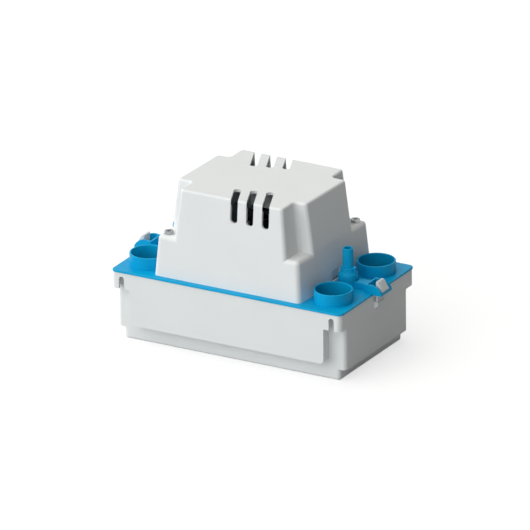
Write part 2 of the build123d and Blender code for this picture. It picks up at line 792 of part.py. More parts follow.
bobbin_w = leg_width + 2 * seat_gap
bobbin_h = stator_stack + 2 * seat_gap
with BuildPart() as coil_bobbin:
    stator_mid_z = stator_bottom_z + stator_stack / 2
    with BuildSketch(Plane.XZ.offset(-bobbin_half_length)):
        with Locations((leg_mid_x, stator_mid_z)):
            Rectangle(bobbin_w + 2 * bobbin_wall, bobbin_h + 2 * bobbin_wall)
            Rectangle(bobbin_w, bobbin_h, mode=Mode.SUBTRACT)
    extrude(amount=2 * bobbin_half_length)
    flange_reach = bobbin_wall + coil_build
    for end in (-1, 1):
        with BuildSketch(Plane.XZ.offset(end * (bobbin_half_length - bobbin_wall / 2))):
            with Locations((leg_mid_x, stator_mid_z)):
                Rectangle(bobbin_w + 2 * flange_reach, bobbin_h + 2 * flange_reach)
                Rectangle(bobbin_w, bobbin_h, mode=Mode.SUBTRACT)
        extrude(amount=bobbin_wall / 2, both=True)
coil_bobbin.part.label = "coil_bobbin"
export_step(coil_bobbin.part, "parts/coil_bobbin.step")

with BuildPart() as stator_coil:
    coil_half = bobbin_half_length - bobbin_wall - seat_gap
    with BuildSketch(Plane.XZ.offset(-coil_half)):
        with Locations((leg_mid_x, stator_mid_z)):
            RectangleRounded(
                bobbin_w + 2 * (bobbin_wall + coil_build) - 0.4,
                bobbin_h + 2 * (bobbin_wall + coil_build) - 0.4,
                2.0,
            )
            Rectangle(
                bobbin_w + 2 * (bobbin_wall + seat_gap),
                bobbin_h + 2 * (bobbin_wall + seat_gap),
                mode=Mode.SUBTRACT,
            )
    extrude(amount=2 * coil_half)
stator_coil.part.label = "stator_coil"
export_step(stator_coil.part, "parts/stator_coil.step")

with BuildPart() as shading_rings:
    with BuildSketch(Plane.XY.offset(stator_bottom_z - 1.2)):
        with Locations(*ring_spots):
            Circle(shading_ring_r)
    extrude(amount=stator_stack + 2.2)
shading_rings.part.label = "shading_rings"
export_step(shading_rings.part, "parts/shading_rings.step")


def bearing_strap(plate_z, foot_low_z, foot_high_z):
    """Diagonal-free H-shaped strap: two foot bars joined by a plate across the bore."""
    with BuildPart() as strap:
        with BuildSketch(Plane.XY.offset(plate_z)):
            with Locations((motor_x, 0)):
                Rectangle(2 * motor_bolt_x_reach + strap_foot_width, 2 * bracket_half_width)
                with GridLocations(2 * motor_bolt_x_reach, 0, 2, 1):
                    Rectangle(strap_foot_width, 2 * motor_bolt_y + strap_foot_width)
                Circle(bush_r + seat_gap, mode=Mode.SUBTRACT)
            with Locations(*bolt_spots):
                Circle(motor_bolt_r + seat_gap, mode=Mode.SUBTRACT)
        extrude(amount=bracket_thickness)
        with BuildSketch(Plane.XY.offset(foot_low_z)):
            with Locations(*bolt_spots):
                Circle(strap_foot_r)
                Circle(motor_bolt_r + seat_gap, mode=Mode.SUBTRACT)
        extrude(amount=foot_high_z - foot_low_z)
    return strap.part


upper_bracket = bearing_strap(upper_plate_z, stator_top_z, upper_plate_z)
upper_bracket.label = "upper_bracket"
export_step(upper_bracket, "parts/upper_bracket.step")

lower_bracket = bearing_strap(lower_plate_z, lower_plate_z + bracket_thickness, stator_bottom_z)
lower_bracket.label = "lower_bracket"
export_step(lower_bracket, "parts/lower_bracket.step")

bush_mid_high = upper_plate_z + bracket_thickness / 2
bush_mid_low = lower_plate_z + bracket_thickness / 2
with BuildPart() as bearing_bushes:
    for mid in (bush_mid_low, bush_mid_high - 0.6):
        with BuildSketch(Plane.XY.offset(mid - bush_length / 2 + 0.6)):
            with Locations((motor_x, 0)):
                Circle(bush_r)
                Circle(shaft_r + running_gap, mode=Mode.SUBTRACT)
        extrude(amount=bush_length - 0.6)
bearing_bushes.part.label = "bearing_bushes"
export_step(bearing_bushes.part, "parts/bearing_bushes.step")

with BuildPart() as motor_bolts:
    with BuildSketch(Plane.XY.offset(lower_plate_z - pedestal_plate - 4)):
        with Locations(*bolt_spots):
            Circle(motor_bolt_r)
    extrude(amount=upper_plate_z + bracket_thickness - lower_plate_z + pedestal_plate + 4)
    with BuildSketch(Plane.XY.offset(upper_plate_z + bracket_thickness)):
        with Locations(*bolt_spots):
            Circle(motor_bolt_head_r)
    extrude(amount=motor_bolt_head_height)
motor_bolts.part.label = "motor_bolts"
export_step(motor_bolts.part, "parts/motor_bolts.step")

with BuildPart() as motor_pedestal:
    with BuildSketch(Plane.XY.offset(deck_z)):
        with Locations((motor_x, 0)):
            RectangleRounded(
                2 * (motor_bolt_x_reach + pedestal_margin), 2 * (motor_bolt_y + pedestal_margin), pedestal_margin / 2
            )
            Circle(deck_shaft_hole_r + 6, mode=Mode.SUBTRACT)
    extrude(amount=pedestal_plate)
    with BuildSketch(Plane.XY.offset(deck_z)):
        with Locations(*bolt_spots):
            Rectangle(pedestal_leg, pedestal_leg)
    extrude(amount=lower_plate_z - deck_z)
    with BuildSketch(Plane.XY.offset(lower_plate_z - pedestal_plate)):
        with Locations((motor_x, 0)):
            RectangleRounded(
                2 * (motor_bolt_x_reach + pedestal_head_margin),
                2 * (motor_bolt_y + pedestal_head_margin),
                pedestal_head_margin * 0.75,
            )
            Circle(stator_bore_r, mode=Mode.SUBTRACT)
    extrude(amount=pedestal_plate)
    with BuildSketch(Plane.XY.offset(lower_plate_z - pedestal_plate - 8)):
        with Locations(*bolt_spots):
            Circle(motor_bolt_r + seat_gap)
    extrude(amount=pedestal_plate + 8, mode=Mode.SUBTRACT)
motor_pedestal.part.label = "motor_pedestal"
export_step(motor_pedestal.part, "parts/motor_pedestal.step")

# ---------------------------------------------------------------- rotor
rotor_r = stator_bore_r - rotor_gap
with BuildPart() as rotor_core:
    with BuildSketch(Plane.XY.offset(stator_bottom_z + rotor_end_gap)):
        with Locations((motor_x, 0)):
            Circle(rotor_r)
            Circle(shaft_r + seat_gap, mode=Mode.SUBTRACT)
    extrude(amount=stator_stack - 2 * rotor_end_gap)
rotor_core.part.label = "rotor_core"
export_step(rotor_core.part, "parts/rotor_core.step")

with BuildPart() as motor_shaft:
    with BuildSketch(Plane.XY.offset(shaft_bottom_z)):
        with Locations((motor_x, 0)):
            Circle(shaft_r)
    extrude(amount=shaft_top_z - shaft_bottom_z)
motor_shaft.part.label = "motor_shaft"
export_step(motor_shaft.part, "parts/motor_shaft.step")

with BuildPart() as cooling_fan:
    with BuildSketch(Plane.XY.offset(fan_bottom_z)):
        Circle(fan_hub_r)
    extrude(amount=fan_blade_height)
    with BuildSketch(Plane.XY.offset(fan_bottom_z)):
        Circle(fan_r)
    extrude(amount=fan_blade_thickness)
    with BuildSketch(Plane.XY.offset(fan_bottom_z)):
        with PolarLocations((fan_hub_r + fan_r) / 2 - 1, fan_blades):
            Rectangle(fan_r - fan_hub_r, fan_blade_thickness)
    extrude(amount=fan_blade_height)
    with BuildSketch(Plane.XY.offset(fan_bottom_z)):
        Circle(shaft_r + seat_gap)
    extrude(amount=fan_blade_height, mode=Mode.SUBTRACT)
cooling_fan.part.position = (motor_x, 0, 0)
cooling_fan.part.label = "cooling_fan"
export_step(cooling_fan.part, "parts/cooling_fan.step")

disc_z = volute_bottom_z + suction_plate + 1.5 + impeller_blade_height
with BuildPart() as impeller:
    with BuildSketch(Plane.XY.offset(disc_z)):
        Circle(impeller_r)
    extrude(amount=impeller_disc)
    with BuildSketch(Plane.XY.offset(disc_z - impeller_blade_height)):
        with PolarLocations((impeller_hub_r + impeller_r) / 2 - 1, impeller_blades):
            Rectangle(impeller_r - impeller_hub_r, impeller_blade_thickness)
    extrude(amount=impeller_blade_height)
    with BuildSketch(Plane.XY.offset(disc_z - impeller_blade_height)):
        Circle(impeller_hub_r)
    extrude(amount=impeller_blade_height + impeller_disc)
    with BuildSketch(Plane.XY.offset(shaft_bottom_z)):
        Circle(shaft_r + seat_gap)
    extrude(amount=disc_z + impeller_disc - shaft_bottom_z, mode=Mode.SUBTRACT)
impeller.part.position = (motor_x, 0, 0)
impeller.part.label = "impeller"
export_step(impeller.part, "parts/impeller.step")

# ---------------------------------------------------------------- pump
with BuildPart() as pump_column:
    with BuildSketch(Plane.XY.offset(volute_top_z)):
        Circle(column_r)
    extrude(amount=tank_height - volute_top_z)
    with BuildSketch(Plane.XY.offset(tank_height - column_flange_thickness)):
        Circle(column_flange_r)
    extrude(amount=column_flange_thickness)
    with BuildSketch(Plane.XY.offset(volute_top_z)):
        Circle(column_r - column_wall)
    extrude(amount=tank_height - volute_top_z, mode=Mode.SUBTRACT)
    # drain windows high in the column
    with BuildSketch(Plane.XZ):
        with Locations((0, tank_height - 14)):
            Rectangle(8, 12)
    extrude(amount=column_r + 1, both=True, mode=Mode.SUBTRACT)
pump_column.part.position = (motor_x, 0, 0)
pump_column.part.label = "pump_column"
export_step(pump_column.part, "parts/pump_column.step")

with BuildPart() as volute_housing:
    with BuildSketch(Plane.XY.offset(volute_bottom_z)):
        Circle(volute_r)
    extrude(amount=volute_top_z - volute_bottom_z)
    with BuildSketch(Plane.YZ):
        with Locations((0, nozzle_z)):
            Circle(nozzle_r)
    extrude(amount=volute_r + nozzle_reach)
    with BuildSketch(Plane.XY.offset(volute_bottom_z)):
        Circle(volute_r - 2 * volute_wall)
    extrude(amount=volute_top_z - volute_bottom_z - volute_wall, mode=Mode.SUBTRACT)
    with BuildSketch(Plane.XY.offset(volute_bottom_z)):
        Circle(volute_r - volute_wall + 0.9)
    extrude(amount=suction_plate + seat_gap, mode=Mode.SUBTRACT)
    with BuildSketch(Plane.YZ):
        with Locations((0, nozzle_z)):
            Circle(nozzle_bore_r)
    extrude(amount=volute_r + nozzle_reach + 1, mode=Mode.SUBTRACT)
    with BuildSketch(Plane.XY.offset(volute_bottom_z)):
        Circle(shaft_r + 0.6)
    extrude(amount=volute_top_z, mode=Mode.SUBTRACT)
    with BuildSketch(Plane.XY.offset(volute_bottom_z)):
        with PolarLocations(volute_screw_pcd_r, 4, 45):
            Circle(volute_screw_r + seat_gap)
    extrude(amount=9, mode=Mode.SUBTRACT)
volute_housing.part.position = (motor_x, 0, 0)
volute_housing.part.label = "volute_housing"
export_step(volute_housing.part, "parts/volute_housing.step")

with BuildPart() as suction_cover:
    with BuildSketch(Plane.XY.offset(volute_bottom_z)):
        Circle(volute_r - volute_wall + 0.9 - 0.1)
        Circle(suction_eye_r, mode=Mode.SUBTRACT)
        with PolarLocations(volute_screw_pcd_r, 4, 45):
            Circle(volute_screw_r + 0.1, mode=Mode.SUBTRACT)
    extrude(amount=suction_plate)
    with BuildSketch(Plane.XY.offset(volute_bottom_z - suction_foot_height)):
        with PolarLocations(15, 4):
            Circle(suction_foot_r)
    extrude(amount=suction_foot_height)
suction_cover.part.position = (motor_x, 0, 0)
suction_cover.part.label = "suction_cover"
export_step(suction_cover.part, "parts/suction_cover.step")

with BuildPart() as volute_screws:
    with BuildSketch(Plane.XY.offset(volute_bottom_z - 1.6)):
        with PolarLocations(volute_screw_pcd_r, 4, 45):
            Circle(volute_screw_head_r)
    extrude(amount=1.6)
    with BuildSketch(Plane.XY.offset(volute_bottom_z)):
        with PolarLocations(volute_screw_pcd_r, 4, 45):
            Circle(volute_screw_r)
    extrude(amount=8)
volute_screws.part.position = (motor_x, 0, 0)
volute_screws.part.label = "volute_screws"
export_step(volute_screws.part, "parts/volute_screws.step")

nozzle_end_x = motor_x + volute_r + nozzle_reach
with BuildPart() as discharge_pipe:
    with BuildSketch(Plane.YZ.offset(nozzle_end_x)):
        with Locations((0, nozzle_z)):
            Circle(nozzle_r)
    extrude(amount=outlet_x - nozzle_end_x)
    with BuildSketch(Plane.XY.offset(nozzle_z - nozzle_r)):
        with Locations((outlet_x, 0)):
            Circle(nozzle_r)
    extrude(amount=riser_top_z - nozzle_z + nozzle_r)
    with BuildSketch(Plane.YZ.offset(nozzle_end_x)):
        with Locations((0, nozzle_z)):
            Circle(nozzle_bore_r)
    extrude(amount=outlet_x - nozzle_end_x, mode=Mode.SUBTRACT)
    with BuildSketch(Plane.XY.offset(nozzle_z - nozzle_bore_r)):
        with Locations((outlet_x, 0)):
            Circle(spigot_r + seat_gap)
    extrude(amount=riser_top_z, mode=Mode.SUBTRACT)
discharge_pipe.part.label = "discharge_pipe"
export_step(discharge_pipe.part, "parts/discharge_pipe.step")

with BuildPart() as valve_seat:
    with BuildSketch(Plane.XY.offset(seat_z - seat_height)):
        with Locations((outlet_x, 0)):
            Circle(spigot_r)
            Circle(seat_bore_r, mode=Mode.SUBTRACT)
    extrude(amount=seat_height)
valve_seat.part.label = "valve_seat"
export_step(valve_seat.part, "parts/valve_seat.step")

ball_seat_rise = (ball_r**2 - seat_bore_r**2) ** 0.5
ball_z = seat_z + ball_seat_rise + ball_rest_gap
with BuildPart() as check_ball:
    Sphere(ball_r)
check_ball.part.position = (outlet_x, 0, ball_z)
check_ball.part.label = "check_ball"
export_step(check_ball.part, "parts/check_ball.step")

cage_z = ball_z + ball_r + ball_lift + ball_rest_gap
with BuildPart() as valve_cage:
    with BuildSketch(Plane.XY.offset(cage_z)):
        with Locations((outlet_x, 0)):
            Circle(spigot_r)
            Circle(spigot_r - 1.2, mode=Mode.SUBTRACT)
            Rectangle(2 * spigot_r - 1.4, cage_bar)
            Rectangle(cage_bar, 2 * spigot_r - 1.4)
    extrude(amount=cage_bar)
valve_cage.part.label = "valve_cage"
export_step(valve_cage.part, "parts/valve_cage.step")

# ---------------------------------------------------------------- float
with BuildPart() as float_bracket:
    lug_inner = float_arm_width / 2 + 2.0 + lug_gap
    with BuildSketch(Plane.XZ):
        with Locations((float_pivot_x, (float_pivot_z + tank_height) / 2)):
            Rectangle(2 * float_hub_r, tank_height - float_pivot_z)
        with Locations((float_pivot_x, float_pivot_z)):
            Circle(float_hub_r)
    extrude(amount=lug_inner + lug_thickness, both=True)
    with BuildSketch(Plane.XY.offset(float_pivot_z - float_hub_r - 1)):
        with Locations((float_pivot_x, 0)):
            Rectangle(40, 2 * lug_inner)
    extrude(amount=tank_height - float_pivot_z + float_hub_r + 1, mode=Mode.SUBTRACT)
    with BuildSketch(Plane.XZ):
        with Locations((float_pivot_x, float_pivot_z)):
            Circle(float_pin_r + seat_gap)
    extrude(amount=30, both=True, mode=Mode.SUBTRACT)
float_bracket.part.label = "float_bracket"
export_step(float_bracket.part, "parts/float_bracket.step")

with BuildPart() as float_pin:
    with BuildSketch(Plane.XZ):
        with Locations((float_pivot_x, float_pivot_z)):
            Circle(float_pin_r)
    extrude(amount=lug_inner + lug_thickness + 0.8, both=True)
float_pin.part.label = "float_pin"
export_step(float_pin.part, "parts/float_pin.step")

float_top_z = float_z + float_height / 2
with BuildPart() as float_arm:
    with BuildSketch(Plane.XZ):
        with Locations((float_pivot_x, float_pivot_z)):
            Circle(float_hub_r)
        Polygon(
            (float_pivot_x, float_pivot_z - float_arm_thickness / 2),
            (float_pivot_x, float_pivot_z + float_pad_rise),
            (float_pad_x, float_pivot_z + float_pad_rise),
            (float_pad_x - 3, float_pivot_z - 1),
            (float_x + 6, float_top_z + float_arm_thickness + 2),
            (float_x - 6, float_top_z + float_arm_thickness),
            (float_x - 6, float_top_z + 0.1),
            (float_x + 6, float_top_z + 0.1),
            align=None,
        )
    extrude(amount=float_arm_width / 2, both=True)
    with BuildSketch(Plane.XZ):
        with Locations((float_pivot_x, float_pivot_z)):
            Circle(float_hub_r)
    extrude(amount=float_arm_width / 2 + 2.0, both=True)
    with BuildSketch(Plane.XY.offset(float_pivot_z)):
        with Locations(((float_pad_x + float_pivot_x) / 2 - 1, 0)):
            Rectangle(float_pivot_x - float_pad_x - 2, 2 * (plunger_y + plunger_r))
    extrude(amount=float_pad_rise)
    with BuildSketch(Plane.XZ):
        with Locations((float_pivot_x, float_pivot_z)):
            Circle(float_pin_r + running_gap)
    extrude(amount=30, both=True, mode=Mode.SUBTRACT)
float_arm.part.label = "float_arm"
export_step(float_arm.part, "parts/float_arm.step")

with BuildPart() as float_ball:
    with BuildSketch(Plane.XY.offset(float_z - float_height / 2)):
        with Locations((float_x, 0)):
            Circle(float_r)
    extrude(amount=float_height)
    chamfer(float_ball.edges().filter_by(GeomType.CIRCLE), float_edge_r)
float_ball.part.label = "float_ball"
export_step(float_ball.part, "parts/float_ball.step")

# ---------------------------------------------------------------- switches
pad_top_z = float_pivot_z + float_pad_rise
for plunger_name, side in (("run_plunger", 1), ("alarm_plunger", -1)):
    with BuildPart() as plunger:
        with BuildSketch(Plane.XY.offset(pad_top_z + 0.3)):
            with Locations((plunger_x, side * plunger_y)):
                Circle(plunger_r)
        extrude(amount=plunger_top_z - pad_top_z - 0.3)
    plunger.part.label = plunger_name
    export_step(plunger.part, "parts/" + plunger_name + ".step")

switch_y = (switch_width + switch_spacing_gap) / 2
switch_mid_x = plunger_x - 2
screw_zs = switch_bottom_z + 3
screw_spots = [
    (switch_mid_x - switch_screw_pitch / 2, screw_zs),
    (switch_mid_x + switch_screw_pitch / 2, screw_zs),
]
for switch_name, side in (("run_switch", 1), ("alarm_switch", -1)):
    with BuildPart() as switch:
        with BuildSketch(Plane.XY.offset(switch_bottom_z)):
            with Locations((switch_mid_x, side * switch_y)):
                Rectangle(switch_length, switch_width)
        extrude(amount=switch_height)
        with BuildSketch(Plane.XY.offset(switch_bottom_z + switch_height)):
            with Locations((switch_mid_x, side * switch_y)):
                with GridLocations(7, 0, 3, 1):
                    Rectangle(0.8, 3)
        extrude(amount=switch_terminal_height)
        with BuildSketch(Plane.XZ):
            with Locations(*screw_spots):
                Circle(switch_screw_r + seat_gap)
        extrude(amount=20, both=True, mode=Mode.SUBTRACT)
    switch.part.label = switch_name
    export_step(switch.part, "parts/" + switch_name + ".step")

plate_y = switch_width + switch_spacing_gap / 2 + 0.02
with BuildPart() as switch_bracket:
    with BuildSketch(Plane.XZ.offset(-plate_y)):
        with Locations((switch_mid_x, (deck_z + switch_bottom_z + switch_height) / 2)):
            Rectangle(switch_length + 4, switch_bottom_z + switch_height - deck_z)
        with Locations(*screw_spots):
            Circle(switch_screw_r + seat_gap, mode=Mode.SUBTRACT)
    extrude(amount=-bracket_plate)
    with BuildSketch(Plane.XY.offset(deck_z)):
        with Locations((switch_mid_x, plate_y + bracket_foot / 2)):
            Rectangle(switch_length + 4, bracket_foot)
    extrude(amount=bracket_plate)
switch_bracket.part.label = "switch_bracket"
export_step(switch_bracket.part, "parts/switch_bracket.step")

with BuildPart() as switch_screws:
    screw_start_y = -(switch_width + switch_spacing_gap / 2) - 0.02
    with BuildSketch(Plane.XZ.offset(-screw_start_y)):
        with Locations(*screw_spots):
            Circle(switch_screw_r)
    extrude(amount=screw_start_y - plate_y - bracket_plate - 1)
    with BuildSketch(Plane.XZ.offset(-screw_start_y)):
        with Locations(*screw_spots):
            Circle(switch_screw_r * 1.8)
    extrude(amount=1.2)
switch_screws.part.label = "switch_screws"
export_step(switch_screws.part, "parts/switch_screws.step")

with BuildPart() as terminal_block:
    with BuildSketch(Plane.XY.offset(deck_z)):
        with Locations((terminal_x, terminal_y)):
            Rectangle(terminal_length, terminal_width)
    extrude(amount=terminal_height)
    with BuildSketch(Plane.XY.offset(deck_z + terminal_height - 6)):
        with Locations((terminal_x, terminal_y)):
            with GridLocations(terminal_length / 4, 0, 3, 1):
                Circle(2.4)
    extrude(amount=6, mode=Mode.SUBTRACT)
    with BuildSketch(Plane.XZ):
        with Locations((terminal_x, deck_z + 4)):
            with GridLocations(terminal_length / 4, 0, 3, 1):
                Rectangle(4, 4)
    extrude(amount=-(terminal_y + terminal_width), mode=Mode.SUBTRACT)
terminal_block.part.label = "terminal_block"
export_step(terminal_block.part, "parts/terminal_block.step")

# ---------------------------------------------------------------- cable gland in the back wall
gland_seat_y = cover_foot_b - cover_draft_y * (gland_rise - gland_flange_r) / cover_shoulder_rise
with BuildPart() as cable_gland:
    with BuildSketch(Plane.XZ.offset(-gland_seat_y)):
        with Locations((gland_x, deck_z + gland_rise)):
            RegularPolygon(gland_flange_r, 6)
    extrude(amount=-gland_flange_thickness)
    with BuildSketch(Plane.XZ.offset(-gland_seat_y)):
        with Locations((gland_x, deck_z + gland_rise)):
            Circle(gland_thread_r)
    extrude(amount=9)
    with BuildSketch(Plane.XZ.offset(-cover_foot_b - 20)):
        with Locations((gland_x, deck_z + gland_rise)):
            Circle(gland_bore_r)
    extrude(amount=40, mode=Mode.SUBTRACT)
cable_gland.part.label = "cable_gland"
export_step(cable_gland.part, "parts/cable_gland.step")
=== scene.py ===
"""Condensate pump: moulded finishes, a turned outlet fitting and latch grips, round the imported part."""

import math

import bmesh
import bpy
from mathutils import Matrix, Vector

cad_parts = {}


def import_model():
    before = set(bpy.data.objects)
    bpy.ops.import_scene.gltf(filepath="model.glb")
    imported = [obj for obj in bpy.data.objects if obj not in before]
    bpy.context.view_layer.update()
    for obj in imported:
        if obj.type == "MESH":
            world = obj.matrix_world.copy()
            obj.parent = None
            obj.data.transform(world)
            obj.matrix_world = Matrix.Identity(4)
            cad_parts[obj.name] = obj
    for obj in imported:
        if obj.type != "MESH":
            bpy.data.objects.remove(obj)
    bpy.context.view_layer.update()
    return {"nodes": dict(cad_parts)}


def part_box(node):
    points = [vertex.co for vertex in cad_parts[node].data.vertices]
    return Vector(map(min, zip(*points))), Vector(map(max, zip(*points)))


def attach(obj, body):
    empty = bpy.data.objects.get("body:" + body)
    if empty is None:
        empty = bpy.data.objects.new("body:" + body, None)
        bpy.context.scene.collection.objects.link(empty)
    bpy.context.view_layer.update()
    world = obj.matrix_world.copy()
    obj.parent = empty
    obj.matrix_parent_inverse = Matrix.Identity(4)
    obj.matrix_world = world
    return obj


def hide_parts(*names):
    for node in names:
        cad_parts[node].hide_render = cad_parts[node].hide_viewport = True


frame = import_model()
MM = 0.001

# ---------------------------------------------------------------- camera and light
VIEW_AZIMUTH = 29.5
VIEW_ELEVATION = 21.7
VIEW_ROLL = 0.5
FRAME_WIDTH = 530 * MM
LENS = 1600.0
SENSOR = 36.0
SIGHT_LIMIT = 60.0
AIM_HEIGHT = 70 * MM
AIM_RIGHT = 2.25 * MM
AIM_UP = 8.3 * MM
KEY_FROM = Vector((-0.36, -0.62, 0.80))
KEY_DISTANCE = 2.6
KEY_SIZE = 2.6
KEY_POWER = 6.0
# The studio's strength by direction: a base, its lean along X, Y and Z, how far to the left that lean
# goes on, the gap half way up the front, and the least that it falls to.
STUDIO_BASE = 0.47
STUDIO_LEAN = (-1.50, -1.72, 0.66)
STUDIO_SIDE_REACH = 0.35
STUDIO_GAP = 1.9
STUDIO_LEAST = 0.03
OVERHEAD_TINT = (1.0, 1.0, 0.955, 1.0)
FRONT_TINT = (0.965, 1.0, 1.03, 1.0)
FLOOR_PALE = 0.42
FLOOR_BOUNCE = 0.40
FLOOR_GLOW = 0.66
FLOOR_HALF = 6.0

# ---------------------------------------------------------------- finishes
COVER_WHITE = (0.800, 0.812, 0.812)
TANK_WHITE = (0.790, 0.812, 0.812)
HOOK_WHITE = (0.700, 0.725, 0.730)
DECK_BLUE = (0.001, 0.372, 0.680)
ZINC = (0.42, 0.43, 0.44)
LAMINATION = (0.40, 0.40, 0.41)
BLACK_NYLON = (0.015, 0.015, 0.017)
NATURAL_PLASTIC = (0.58, 0.58, 0.54)
COPPER = (0.45, 0.13, 0.05)
BRONZE = (0.50, 0.33, 0.14)
RUBBER = (0.012, 0.012, 0.012)
LAMINATION_PITCH = 0.65 * MM
WINDING_PITCH = 0.45 * MM
WAVE_PERIOD = math.tau / 20
LAYER_STRENGTH = 0.6
LAYER_DEPTH_SHARE = 1 / 3
GRAIN_SCALE = 900.0
GRAIN_DETAIL = 3.0
GRAIN_DEPTH = 0.1 * MM
MOTTLE_SCALE = 22.0
MOTTLE_DETAIL = 4.0
MOTTLE_BAND = (0.3, 0.7)


def relief(nodes, links, height, strength, depth, shader):
    """Raise the surface by a pattern's height."""
    bump = nodes.new("ShaderNodeBump")
    bump.inputs["Strength"].default_value = strength
    bump.inputs["Distance"].default_value = depth
    links.new(height, bump.inputs["Height"])
    links.new(bump.outputs["Normal"], shader.inputs["Normal"])


def stacked_layers(nodes, links, place, shader, pitch):
    """Even ridges up the piece, one to a sheet or a turn of wire."""
    bands = nodes.new("ShaderNodeTexWave")
    bands.bands_direction = "Z"
    bands.inputs["Scale"].default_value = WAVE_PERIOD / pitch
    links.new(place, bands.inputs["Vector"])
    relief(nodes, links, bands.outputs["Fac"], LAYER_STRENGTH, pitch * LAYER_DEPTH_SHARE, shader)


def moulded_grain(nodes, links, place, shader, strength):
    """The fine grain of a moulded or sintered surface."""
    noise = nodes.new("ShaderNodeTexNoise")
    noise.inputs["Scale"].default_value = GRAIN_SCALE
    noise.inputs["Detail"].default_value = GRAIN_DETAIL
    links.new(place, noise.inputs["Vector"])
    relief(nodes, links, noise.outputs["Fac"], strength, GRAIN_DEPTH, shader)


def faint_mottle(nodes, links, place, shader, colour, depth):
    """Slow variation between the colour and a slightly darker one."""
    cloud = nodes.new("ShaderNodeTexNoise")
    cloud.inputs["Scale"].default_value = MOTTLE_SCALE
    cloud.inputs["Detail"].default_value = MOTTLE_DETAIL
    ramp = nodes.new("ShaderNodeValToRGB")
    darker = tuple(channel * (1.0 - depth) for channel in colour)
    for stop, position, shade in zip(ramp.color_ramp.elements, MOTTLE_BAND, (darker, colour)):
        stop.position = position
        stop.color = (*shade, 1.0)
    links.new(place, cloud.inputs["Vector"])
    links.new(cloud.outputs["Fac"], ramp.inputs["Fac"])
    links.new(ramp.outputs["Color"], shader.inputs["Base Color"])


def finish_material(name, colour, roughness, metallic=0.0, specular=0.5, grain=0.0, mottle=0.0, layers=0.0):
    """A finish with an optional moulded grain, faint mottle or stacked layers in Object coordinates."""
    material = bpy.data.materials.new(name)
    material.use_nodes = True
    nodes = material.node_tree.nodes
    links = material.node_tree.links
    shader = nodes["Principled BSDF"]
    shader.inputs["Base Color"].default_value = (*colour, 1.0)
    shader.inputs["Roughness"].default_value = roughness
    shader.inputs["Metallic"].default_value = metallic
    shader.inputs["Specular IOR Level"].default_value = specular
    place = nodes.new("ShaderNodeTexCoord").outputs["Object"]
    if layers:
        stacked_layers(nodes, links, place, shader, layers)
    if grain:
        moulded_grain(nodes, links, place, shader, grain)
    if mottle:
        faint_mottle(nodes, links, place, shader, colour, mottle)
    return material


cover_finish = finish_material("cover_white", COVER_WHITE, 0.60, specular=0.3, grain=0.12, mottle=0.02)
tank_finish = finish_material("tank_white", TANK_WHITE, 0.58, specular=0.3, grain=0.10, mottle=0.02)
hook_finish = finish_material("hook_white", HOOK_WHITE, 0.55, specular=0.3, grain=0.10)
deck_finish = finish_material("deck_blue", DECK_BLUE, 0.40, specular=0.12, grain=0.06, mottle=0.05)
zinc_finish = finish_material("zinc_plate", ZINC, 0.35, metallic=1.0, mottle=0.15)
lamination_finish = finish_material(
    "lamination_steel", LAMINATION, 0.5, mottle=0.2, layers=LAMINATION_PITCH
)
black_finish = finish_material("black_nylon", BLACK_NYLON, 0.5, grain=0.10)
natural_finish = finish_material("natural_plastic", NATURAL_PLASTIC, 0.45, grain=0.08)
copper_finish = finish_material("enamelled_copper", COPPER, 0.35, metallic=0.8, layers=WINDING_PITCH)
bronze_finish = finish_material("sintered_bronze", BRONZE, 0.5, metallic=0.9, grain=0.2, mottle=0.2)
rubber_finish = finish_material("seal_rubber", RUBBER, 0.7, grain=0.15)

FINISHED_NODES = (
    (tank_finish, ("tank", "window_plug")),
    (cover_finish, ("motor_cover",)),
    (deck_finish, ("deck_plate", "outlet_adaptor")),
    (hook_finish, ("hook_right", "hook_left")),
    (lamination_finish, ("stator_core", "rotor_core")),
    (copper_finish, ("stator_coil", "shading_rings")),
    (bronze_finish, ("bearing_bushes",)),
    (rubber_finish, ("outlet_o_ring", "check_ball")),
    (black_finish, ("motor_pedestal", "cooling_fan", "cable_gland", "valve_seat", "valve_cage")),
    (black_finish, ("float_bracket", "float_arm", "run_switch", "alarm_switch")),
    (zinc_finish, ("cover_screws", "motor_bolts", "volute_screws", "switch_screws", "switch_bracket")),
    (zinc_finish, ("upper_bracket", "lower_bracket", "motor_shaft", "float_pin")),
    (natural_finish, ("coil_bobbin", "pump_column", "volute_housing", "suction_cover", "impeller")),
    (natural_finish, ("discharge_pipe", "terminal_block", "float_ball", "run_plunger", "alarm_plunger")),
)
for finish, node_names in FINISHED_NODES:
    for node_name in node_names:
        mesh = frame["nodes"][node_name].data
        mesh.materials.clear()
        mesh.materials.append(finish)


# ---------------------------------------------------------------- pieces made here
# Millimetres. The heights of the outlet's parts are from the deck's top.
DECK_TOP = 76.5
OUTLET_BORE_R = 3.5
OUTLET_SPIGOT_R = 5.6
OUTLET_FOOT_R = 11.5
OUTLET_STEM_R = 5.55
OUTLET_RING_R = 7.7
OUTLET_RING_Z = 14.4
OUTLET_RING_TOP_Z = 19.2
OUTLET_RING_FLARE = 0.2
OUTLET_RING_DROP = 0.3
OUTLET_RING_SHED = 0.2
OUTLET_LIP = 0.5
OUTLET_STEPS = 72
